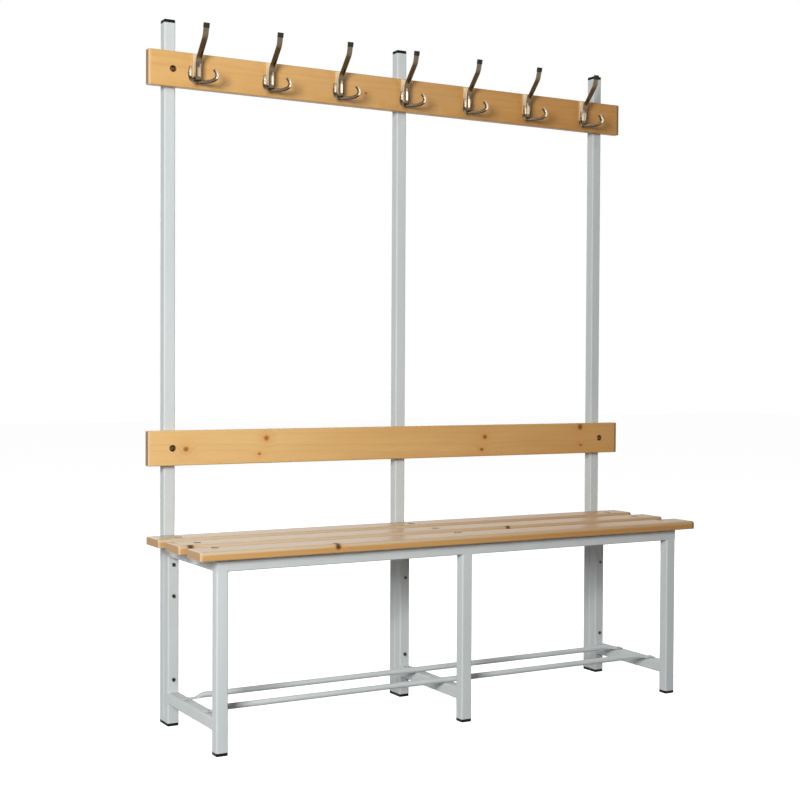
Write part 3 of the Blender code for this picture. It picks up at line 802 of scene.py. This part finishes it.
def welds():
    """Fillets where tubes meet at a corner; where their faces are flush the joint is ground smooth."""
    seams = []
    for side in FRAMES:
        inner = {"left": (1,), "middle": (-1, 1), "right": (-1,)}[side]
        for row in ("front", "rear"):
            low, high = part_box(row + "_leg_" + side)
            middle = (low + high) / 2
            for way in inner:
                seams.append((BACK, Vector((middle.x + way * (high.x - low.x) / 2, middle.y, high.z))))
        low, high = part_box("seat_crossbar_" + side)
        middle = (low + high) / 2
        for way in inner:
            for end in (low.y, high.y):
                seams.append((UP, Vector((middle.x + way * (high.x - low.x) / 2, end, middle.z))))
        low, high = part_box("lower_crossbar_" + side)
        for end in (low.y, high.y):
            for edge in (low.z, high.z):
                seams.append((SIDEWAYS, Vector(((low.x + high.x) / 2, end, edge))))
    pattern = weld_bead()
    beads = [lay_bead(pattern, number, *seam) for number, seam in enumerate(seams)]
    bpy.data.objects.remove(pattern, do_unlink=True)
    dress(joined("weld_beads", beads), PAINT, "paint")


def glides_and_caps():
    """Black feet and post caps: a flange as wide as the tube, with a groove where the tube meets it."""
    for side in FRAMES:
        for node in ("front_glide_" + side, "rear_glide_" + side, "post_glide_" + side):
            low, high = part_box(node)
            high.z = low.z + GLIDE_HEIGHT
            plug(node, low, high, GLIDE_EDGE, FLANGE_GROOVE)
        node = "post_cap_" + side
        low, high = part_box(node)
        low.z = high.z - CAP_HEIGHT
        plug(node, low, high, FLANGE_GROOVE, CAP_EDGE)


def plug(node, low, high, lower_edge, upper_edge):
    """One plastic flange with rounded corners and softened edges."""
    piece = block("moulded_" + node, low, high)
    pick(piece, "EDGE", lambda edge: runs_along(edge, Z))
    bevel(TUBE_CORNER, TUBE_ROUNDING)
    pick(piece, "EDGE", lambda edge: lies_at(edge, Z, low.z))
    bevel(lower_edge, EDGE_STEPS)
    pick(piece, "EDGE", lambda edge: lies_at(edge, Z, high.z))
    bevel(upper_edge, CAP_STEPS)
    dress(leave(piece), PLASTIC, "plastic", node)


def recess(radius, depth):
    """The tool for a flat-bottomed recess from Z 0 down, with a flared rim."""
    tool = round_bar("recess", radius, -depth, -RECESS_FLARE, RECESS_SIDES)
    pick(tool, "FACE", lambda face: lies_at(face, Z, -RECESS_FLARE))
    rise = RECESS_FLARE + RECESS_CLEARANCE
    draw_out((0, 0, rise))
    spread = (radius + rise) / radius
    bpy.ops.transform.resize(value=(spread, spread, 1), center_override=(0, 0, rise - RECESS_FLARE))
    return leave(tool)


def plank(node, upper_edge, lower_edge, recesses):
    """A planed board: rounded long edges, eased ends, and its recesses cut from a place in a direction."""
    low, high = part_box(node)
    piece = block("pine_" + node, low, high)
    for height, radius in ((high.z, upper_edge), (low.z, lower_edge)):
        pick(piece, "EDGE", lambda edge: runs_along(edge, X) and lies_at(edge, Z, height))
        bevel(radius, BOARD_STEPS)
    for end in (low.x, high.x):
        pick(piece, "EDGE", lambda edge: lies_at(edge, X, end))
        bevel(BOARD_END_EDGE, EDGE_STEPS)
    leave(piece)
    for place, direction, radius, depth in recesses:
        cut(piece, turned(recess(radius, depth), direction, place))
    return piece


def seat_screw_places(slat):
    """Where the screws of a slat go in: over each crossbar, clear of the rails."""
    low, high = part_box("seat_slat_" + slat)
    middle = (low + high) / 2
    y = middle.y + SEAT_SCREW_SHIFTS[slat]
    return [Vector((middle_of("seat_crossbar_" + side).x, y, high.z)) for side in FRAMES]


def boards():
    """Three seat slats, the backrest and the hook rail.

    Each has its tone, the place of its heart line, how far that drifts along it, a seed and its knots."""
    face = BOARD_FACE
    grain = {
        "seat_slat_rear": ((0.56, 0.315, 0.112), (0.030, -0.050), 0.010, 1.7, ()),
        "seat_slat_middle": ((0.56, 0.315, 0.112), (-0.055, -0.045), -0.014, 4.1, (
            (-0.714, -0.043, 0.006, 0.0080, 1.0), (0.205, -0.043, 0.006, 0.0065, 0.95))),
        "seat_slat_front": ((0.565, 0.300, 0.080), (0.050, 0.060), 0.012, 7.3, (
            (-0.387, SLAT_NOSE, 0.0035, 0.0075, 1.0),)),
        "backrest": ((0.735, 0.448, 0.166), (-0.030, 0.060), 0.012, 2.9, (
            (-0.644, -0.003, face, 0.0075, 0.35), (-0.419, 0.021, face, 0.0075, 0.20),
            (-0.439, -0.020, face, 0.0040, 0.35), (0.268, 0.011, face, 0.0070, 0.50),
            (0.257, -0.025, face, 0.0060, 0.55), (0.608, 0.034, face, 0.0085, 0.60),
            (0.610, -0.020, face, 0.0050, 0.40))),
        "hook_rail": ((0.665, 0.370, 0.119), (0.045, 0.070), -0.010, 5.6, (
            (-0.126, -0.006, face, 0.0035, 0.45),)),
    }
    for node, (tone, heart, drift, seed, knots) in grain.items():
        flat = node.startswith("seat")
        low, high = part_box(node)
        middle = (low + high) / 2
        if flat:
            places = seat_screw_places(node[len("seat_slat_"):])
            recesses = [(place, UP, SCREW_RECESS_RADIUS, SCREW_RECESS) for place in places]
            holes = [(place.x, place.y - middle.y, SCREW_RECESS_RADIUS) for place in places]
        else:
            places = [Vector((middle_of("post_" + side).x, low.y, middle.z)) for side in ("left", "right")]
            recesses = [(place, FRONT, BOLT_RECESS_RADIUS, BOLT_RECESS) for place in places]
            holes = [(place.x, 0, BOLT_RECESS_RADIUS) for place in places]
        shine = SLAT_VARNISH if flat else BOARD_VARNISH
        end_tone = SLAT_END_GRAIN if flat else BOARD_END_GRAIN
        wood = pine(
            node + "_pine", flat, middle, high.x, shine, tone, end_tone, heart, drift, seed, knots, holes)
        edges = (SLAT_EDGE, SLAT_LOWER_EDGE) if flat else (BOARD_EDGE, BOARD_EDGE)
        dress(plank(node, *edges, recesses), wood, "pine", node)


def bolt_head():
    """A domed head with a six-sided socket, its top at the origin."""
    piece = round_bar("bolt_head", BOLT_HEAD_RADIUS, -BOLT_HEAD_HEIGHT, 0)
    pick(piece, "EDGE", lambda edge: lies_at(edge, Z, 0))
    bevel(BOLT_HEAD_HEIGHT * BOLT_DOME_SHARE, DOME_STEPS)
    leave(piece)
    depth = BOLT_SOCKET_DEPTH
    cut(piece, round_bar("socket", BOLT_SOCKET_RADIUS, -depth, depth, SOCKET_SIDES))
    return piece


def screw_head():
    """A pan head with a crossed slot, its top at the origin."""
    piece = round_bar("screw_head", SCREW_HEAD_RADIUS, -SCREW_HEAD_HEIGHT, 0)
    pick(piece, "EDGE", lambda edge: lies_at(edge, Z, 0))
    bevel(SCREW_HEAD_HEIGHT * SCREW_DOME_SHARE, DOME_STEPS)
    leave(piece)
    half = Vector((SCREW_CROSS_LENGTH, SCREW_CROSS_WIDTH, 2 * SCREW_CROSS_DEPTH)) / 2
    cross = block("cross", -half, half)
    cut(cross, block("cross_arm", -half.yxz, half.yxz), "UNION")
    cut(piece, cross)
    return piece


def bolts_and_screws():
    """Bolts of the rear legs and the boards, and screws of slats, rods, hooks and the middle post."""
    bolt = bolt_head()
    screw = screw_head()
    bolts = ["post_bolt_" + side + "_" + row for side in FRAMES for row in ("upper", "middle", "lower")]
    bolts += [board + "_bolt_" + side for board in ("backrest", "hook_rail") for side in ("left", "right")]
    for node in bolts:
        middle = middle_of(node)
        head = copy_of(bolt, "head_of_" + node, FRONT, Vector((middle.x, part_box(node)[0].y, middle.z)))
        dress(head, STEEL if node.startswith("post") else BRONZE, "steel", node)
    for node in ("backrest_screw_middle", "hook_rail_screw_middle"):
        middle = middle_of(node)
        head = copy_of(screw, "head_of_" + node, BACK, Vector((middle.x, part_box(node)[1].y, middle.z)))
        dress(head, STEEL, "steel", node)
    rise = Vector((0, 0, SEAT_SCREW_RISE))
    for slat in ("rear", "middle", "front"):
        heads = [copy_of(screw, "seat_screw", UP, place + rise) for place in seat_screw_places(slat)]
        dress(joined("seat_screws_" + slat, heads), YELLOW_ZINC, "steel")
    for row in ("front", "rear"):
        heads = []
        for side in ("left", "right"):
            place = middle_of("shoe_rod_" + row)
            place.x = middle_of("lower_crossbar_" + side).x
            place.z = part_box("shoe_rod_" + row)[0].z + ROD_FLAT_HEIGHT + SCREW_HEAD_HEIGHT
            heads.append(copy_of(screw, "rod_screw", UP, place))
        dress(joined("rod_screws_" + row, heads), ZINC, "steel")
    heads = []
    for number in range(1, HOOK_COUNT + 1):
        for height in HOOK_SCREW_HEIGHTS:
            place = hook_foot(number) + Vector((0, -HOOK_THICKNESS - HOOK_SCREW_RISE, height))
            heads.append(copy_of(screw, "hook_screw", FRONT, place))
    dress(joined("hook_screws", heads), NICKEL, "nickel")
    for pattern in (bolt, screw):
        bpy.data.objects.remove(pattern, do_unlink=True)


def shoe_rods():
    """Round rods whose ends neck down and lie flat on the outer crossbars."""
    for row in ("front", "rear"):
        low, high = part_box("shoe_rod_" + row)
        y = (low.y + high.y) / 2
        straight = high.x - ROD_FLAT_LENGTH - ROD_NECK_LENGTH
        piece = round_bar("painted_shoe_rod_" + row, ROD_RADIUS, -straight, straight, ROD_SIDES)
        turned(piece, SIDEWAYS, Vector((0, y, low.z + ROD_RADIUS)))
        for way in (-1, 1):
            pick(piece, "FACE", lambda face: lies_at(face, X, way * straight))
            press_end(way, y, low.z)
        leave(piece)
        pick_all(piece)
        bpy.ops.mesh.normals_make_consistent(inside=False)
        dress(leave(piece), PAINT, "paint", "shoe_rod_" + row)


def press_end(way, y, floor):
    """Draws the selected end face out, flattening it over the neck and rounding it at the tip."""
    sections = []
    for step in range(1, ROD_NECK_STEPS + 1):
        flatness = (1 - math.cos(math.pi * step / ROD_NECK_STEPS)) / 2
        width = 2 * ROD_RADIUS + (ROD_FLAT_WIDTH - 2 * ROD_RADIUS) * flatness
        height = 2 * ROD_RADIUS + (ROD_FLAT_HEIGHT - 2 * ROD_RADIUS) * flatness
        sections.append((ROD_NECK_LENGTH / ROD_NECK_STEPS, width, height))
    sections.append((ROD_FLAT_LENGTH - ROD_TIP_LENGTH, ROD_FLAT_WIDTH, ROD_FLAT_HEIGHT))
    for step in range(1, ROD_TIP_STEPS + 1):
        share = ROD_TIP_SHARE + (1 - ROD_TIP_SHARE) * math.cos(math.pi / 2 * step / ROD_TIP_STEPS)
        sections.append((ROD_TIP_LENGTH / ROD_TIP_STEPS, ROD_FLAT_WIDTH * share, ROD_FLAT_HEIGHT))
    old_width = old_height = 2 * ROD_RADIUS
    for length, width, height in sections:
        sink = (height - old_height) / 2
        draw_out((way * length, 0, sink))
        bpy.ops.transform.resize(value=(1, width / old_width, height / old_height),
                                 center_override=(0, y, floor + height / 2))
        old_width, old_height = width, height


def hook_foot(number):
    """The lowest point of a hook's strap at the face of the board."""
    low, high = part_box("coat_hook_" + str(number))
    return Vector(((low.x + high.x) / 2, high.y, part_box("hook_rail")[0].z + HOOK_FOOT))


def strap_section(name, width, thickness, place):
    """A flat face: the section of a strap with crowned sides and softened corners."""
    deselect()
    bpy.ops.mesh.primitive_circle_add(vertices=HOOK_SECTION_SIDES, radius=0.5, fill_type="NGON")
    piece = bpy.context.object
    piece.name = name
    piece.scale = (HOOK_CROWN_WIDTH * width / HOOK_WIDTH, thickness, 1)
    apply_place(piece)
    for way in (-1, 1):
        pick_all(piece)
        bpy.ops.mesh.bisect(plane_co=(way * width / 2, 0, 0), plane_no=(way, 0, 0), clear_outer=True)
    pick(piece, "VERT", lambda corner: abs(abs(corner.co.x) - width / 2) < SAME_POINT)
    bpy.ops.mesh.bevel(offset=HOOK_CORNER, segments=HOOK_CORNER_STEPS, affect="VERTICES")
    leave(piece)
    piece.data.transform(Matrix.Translation(place))
    return piece


def hook_strap():
    """A strap bent from the plate on the board round the foot, up the stem, forward and up to the tip."""
    lean_angle = math.atan2(HOOK_LEAN.x, HOOK_LEAN.y)
    tip_angle = math.atan2(HOOK_TIP.x, HOOK_TIP.y)
    stem_trim = HOOK_STEM_BEND * math.tan(lean_angle / 2)
    tip_trim = HOOK_TIP_BEND * math.tan((lean_angle - tip_angle) / 2)
    plate_y = -HOOK_THICKNESS / 2
    stem_y = plate_y - 2 * HOOK_BEND
    foot_z = HOOK_THICKNESS / 2 + HOOK_BEND
    plate_top = Vector((0, plate_y, HOOK_PLATE_HEIGHT))
    piece = strap_section("hook_strap", HOOK_WIDTH, HOOK_THICKNESS, plate_top)
    pick_all(piece)
    draw_out((0, 0, foot_z - HOOK_PLATE_HEIGHT))
    middle = (0, plate_y - HOOK_BEND, foot_z)
    bpy.ops.mesh.spin(steps=HOOK_FOOT_STEPS, angle=math.pi, center=middle, axis=(1, 0, 0))
    stem_top = HOOK_STEM_HEIGHT - stem_trim
    draw_out((0, 0, stem_top - foot_z))
    middle = (0, stem_y - HOOK_STEM_BEND, stem_top)
    bpy.ops.mesh.spin(steps=HOOK_STEM_STEPS, angle=lean_angle, center=middle, axis=(-1, 0, 0))
    lean = Vector((0, -math.sin(lean_angle), math.cos(lean_angle)))
    start = Vector((0, stem_y - HOOK_STEM_BEND * (1 - math.cos(lean_angle)),
                    stem_top + HOOK_STEM_BEND * math.sin(lean_angle)))
    run = HOOK_LEAN.length - stem_trim - tip_trim
    draw_out(lean * run)
    middle = start + lean * run + HOOK_TIP_BEND * Vector((0, math.cos(lean_angle), math.sin(lean_angle)))
    bpy.ops.mesh.spin(steps=HOOK_TIP_STEPS, angle=lean_angle - tip_angle, center=middle, axis=(1, 0, 0))
    rise = Vector((0, -math.sin(tip_angle), math.cos(tip_angle)))
    draw_out(rise * (HOOK_TIP.length - tip_trim))
    pick_all(piece)
    bpy.ops.mesh.remove_doubles(threshold=SAME_POINT)
    bpy.ops.mesh.normals_make_consistent(inside=False)
    pick(piece, "EDGE", lambda edge: lies_at(edge, Z, HOOK_PLATE_HEIGHT))
    bevel(HOOK_PLATE_EDGE, EDGE_STEPS)
    leave(piece)
    end = Vector((0, stem_y - HOOK_LEAN.x - HOOK_TIP.x, HOOK_STEM_HEIGHT + HOOK_LEAN.y + HOOK_TIP.y))
    return piece, end, rise


def hook_prongs():
    """One tapered bar under the strap's bend, whose ends sweep out, curl up and turn in."""
    deselect()
    bpy.ops.curve.primitive_bezier_curve_add()
    piece = bpy.context.object
    piece.name = "hook_prongs"
    line = piece.data
    line.bevel_depth = PRONG_RADIUS
    line.bevel_resolution = PRONG_ROUNDING
    line.resolution_u = PRONG_STEPS
    line.use_fill_caps = True
    spline = line.splines[0]
    spline.bezier_points.add(1)
    flip = Matrix.Diagonal((-1, 1, 1))
    layout = (
        (flip @ PRONG_TIP, flip @ PRONG_TIP, flip @ PRONG_CURL),
        (PRONG_MIDDLE, flip @ PRONG_SWEEP, PRONG_SWEEP),
        (PRONG_TIP, PRONG_CURL, PRONG_TIP),
    )
    for point, (place, before, after) in zip(spline.bezier_points, layout):
        point.handle_left_type = point.handle_right_type = "FREE"
        point.co = place
        point.handle_left = before
        point.handle_right = after
    take(piece)
    bpy.ops.object.mode_set(mode="EDIT")
    bpy.ops.curve.select_all(action="SELECT")
    bpy.ops.curve.subdivide(number_cuts=PRONG_CUTS)
    bpy.ops.object.mode_set(mode="OBJECT")
    radii = (PRONG_TIP_RADIUS, PRONG_CURL_RADIUS, PRONG_RADIUS, PRONG_RADIUS)
    for point, radius in zip(line.splines[0].bezier_points, (*radii, *radii[-2::-1])):
        point.radius = radius / PRONG_RADIUS
    bpy.ops.object.convert(target="MESH")
    piece = bpy.context.object
    pick_all(piece)
    bpy.ops.mesh.remove_doubles(threshold=SAME_POINT)
    bpy.ops.mesh.normals_make_consistent(inside=False)
    for way in (-1, 1):
        pick(piece, "FACE", lambda face: len(face.verts) > 4 and face.calc_center_median().x * way > 0)
        out = (PRONG_TIP - PRONG_CURL).normalized()
        out.x *= way
        tip = PRONG_TIP.copy()
        tip.x *= way
        for length, share in PRONG_TIP_ROUNDING:
            tip += out * PRONG_TIP_RADIUS * length
            draw_out(out * PRONG_TIP_RADIUS * length)
            bpy.ops.transform.resize(value=(share, share, share), center_override=tip)
    return leave(piece)


def coat_hooks():
    """One hook with its prongs and the black cap on its tip, copied along the hook rail."""
    strap, end, rise = hook_strap()
    cut(strap, hook_prongs(), "UNION")
    cap = strap_section("tip_cap", TIP_CAP_WIDTH, TIP_CAP_THICKNESS, Vector((0, 0, -TIP_CAP_LENGTH)))
    pick_all(cap)
    draw_out((0, 0, TIP_CAP_LENGTH + TIP_CAP_OVERLAP))
    pick_all(cap)
    bpy.ops.mesh.normals_make_consistent(inside=False)
    pick(cap, "EDGE", lambda edge: lies_at(edge, Z, TIP_CAP_OVERLAP))
    bevel(TIP_CAP_EDGE, EDGE_STEPS)
    leave(cap)
    turned(cap, rise, end)
    for number in range(1, HOOK_COUNT + 1):
        node = "coat_hook_" + str(number)
        foot = hook_foot(number)
        dress(copy_of(strap, "bent_" + node, UP, foot), NICKEL, "nickel", node)
        dress(copy_of(cap, "tip_cap_" + str(number), UP, foot), TIP_PLASTIC, "plastic")
    for pattern in (strap, cap):
        bpy.data.objects.remove(pattern, do_unlink=True)


def white_to_the_eye(tree, plain, shown):
    """Mixes a shader with another that only the camera, reflections and clear materials see."""
    start = Value(tree, tree.nodes.new("ShaderNodeLightPath").outputs["Is Camera Ray"])
    seen = start
    for kind in ("Is Glossy Ray", "Is Transmission Ray"):
        seen = start.math("MAXIMUM", seen, Value(tree, start.socket.node.outputs[kind]))
    return start.node("MixShader", {}, {0: seen, 1: plain, 2: shown})


def floor_and_backdrop():
    """A pale floor that keeps the bench's shadow, under a white room."""
    deselect()
    bpy.ops.mesh.primitive_plane_add(size=FLOOR_SIZE, location=(0, 0, -FLOOR_DROP))
    floor = bpy.context.object
    floor.name = "floor"
    material = bpy.data.materials.new("pale_floor")
    material.use_nodes = True
    tree = material.node_tree
    tree.nodes.remove(tree.nodes["Principled BSDF"])
    start = Value(tree, tree.nodes.new("ShaderNodeBsdfDiffuse").outputs[0])
    start.feed(start.socket.node, {"Color": (FLOOR_BOUNCE, FLOOR_BOUNCE, FLOOR_BOUNCE, 1)})
    soft = start.node("BsdfDiffuse", {}, {"Color": (FLOOR_SEEN, FLOOR_SEEN, FLOOR_SEEN, 1)})
    glow = start.node("Emission", {}, {"Color": (1, 1, 1, 1), "Strength": FLOOR_GLOW})
    shown = start.node("AddShader", {}, {0: soft, 1: glow})
    result = white_to_the_eye(tree, start, shown)
    tree.links.new(result.socket, tree.nodes["Material Output"].inputs["Surface"])
    floor.data.materials.append(material)
    world = bpy.data.worlds.new("white_room")
    bpy.context.scene.world = world
    world.use_nodes = True
    tree = world.node_tree
    tree.nodes.remove(tree.nodes["Background"])
    start = Value(tree, tree.nodes.new("ShaderNodeBackground").outputs[0])
    start.feed(start.socket.node, {"Color": (1, 1, 1, 1), "Strength": ROOM_FILL})
    shown = start.node("Background", {}, {"Color": (1, 1, 1, 1), "Strength": ROOM_SEEN})
    result = white_to_the_eye(tree, start, shown)
    tree.links.new(result.socket, tree.nodes["World Output"].inputs["Surface"])


def lamps():
    """Soft square lamps, each facing a point; glossy pieces mirror some of them."""
    for name, place, target, size, power, mirrored in LAMPS:
        deselect()
        bpy.ops.object.light_add(type="AREA", location=place)
        light = bpy.context.object
        light.name = name
        light.data.shape = "SQUARE"
        light.data.size = size
        light.data.energy = power
        light.visible_glossy = mirrored
        light.rotation_euler = (Vector(target) - Vector(place)).to_track_quat("-Z", "Y").to_euler()


def camera():
    """The photograph's camera."""
    deselect()
    bpy.ops.object.camera_add()
    eye = bpy.context.object
    eye.data.lens = CAMERA_LENS
    eye.data.sensor_width = CAMERA_SENSOR
    turn = Matrix.Rotation(-CAMERA_YAW, 4, "Z") @ Matrix.Rotation(math.pi / 2 + CAMERA_PITCH, 4, "X")
    eye.matrix_world = Matrix.Translation(CAMERA_PLACE) @ turn @ Matrix.Rotation(CAMERA_ROLL, 4, "Z")
    bpy.context.scene.camera = eye


camera()
floor_and_backdrop()
lamps()
legs_and_crossbars()
rails()
posts()
welds()
glides_and_caps()
boards()
bolts_and_screws()
shoe_rods()
coat_hooks()
deselect()
bpy.context.scene.view_settings.view_transform = "Standard"
